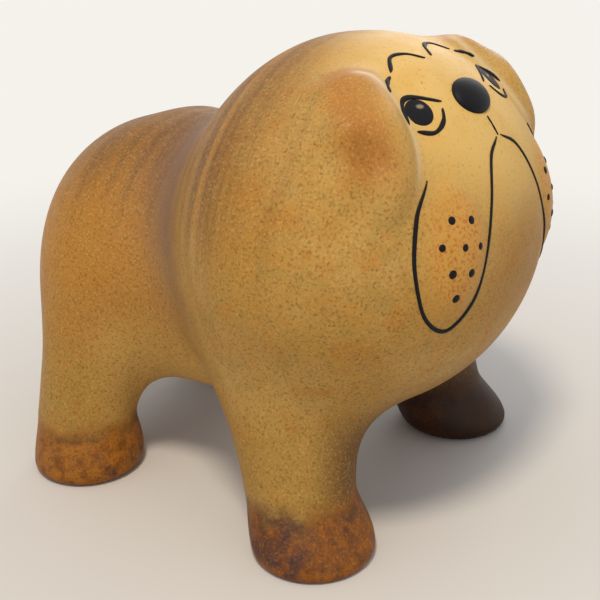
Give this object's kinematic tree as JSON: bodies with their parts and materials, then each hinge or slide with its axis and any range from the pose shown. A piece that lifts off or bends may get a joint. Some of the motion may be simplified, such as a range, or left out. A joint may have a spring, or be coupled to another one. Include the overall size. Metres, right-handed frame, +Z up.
{
  "type": "ceramic dog figurine",
  "caption": "Standing bulldog figurine in speckled honey-brown stoneware: ball head and chest, barrel hind body, stout legs, folded ears and a face in black slip.",
  "frame": {"origin": "centre of the footprint box, on the table plane under the soles", "axes": "+X the way the dog faces, +Y to its left, +Z up"},
  "size_m": [0.147, 0.115, 0.1252],
  "materials": {
    "honey_glaze": "satin speckled honey-brown stoneware glaze",
    "face_glaze": "satin pale honey stoneware glaze with orange freckles",
    "black_slip": "matt blue-black brushed slip"
  },
  "bodies": {
    "root": {"head_chest_shell": "honey_glaze", "hind_body_shell": "honey_glaze", "front_leg_right": "honey_glaze", "front_leg_left": "honey_glaze", "hind_leg_right": "honey_glaze", "hind_leg_left": "honey_glaze", "ear_right": "honey_glaze", "ear_left": "honey_glaze", "jowl_right": "face_glaze", "jowl_left": "face_glaze", "nose": "black_slip", "eye_right": "black_slip", "eye_left": "black_slip", "brow_lines": "black_slip", "jowl_line_right": "black_slip", "jowl_line_left": "black_slip", "whisker_dots_right": "black_slip", "whisker_dots_left": "black_slip"}
  },
  "joints": []
}
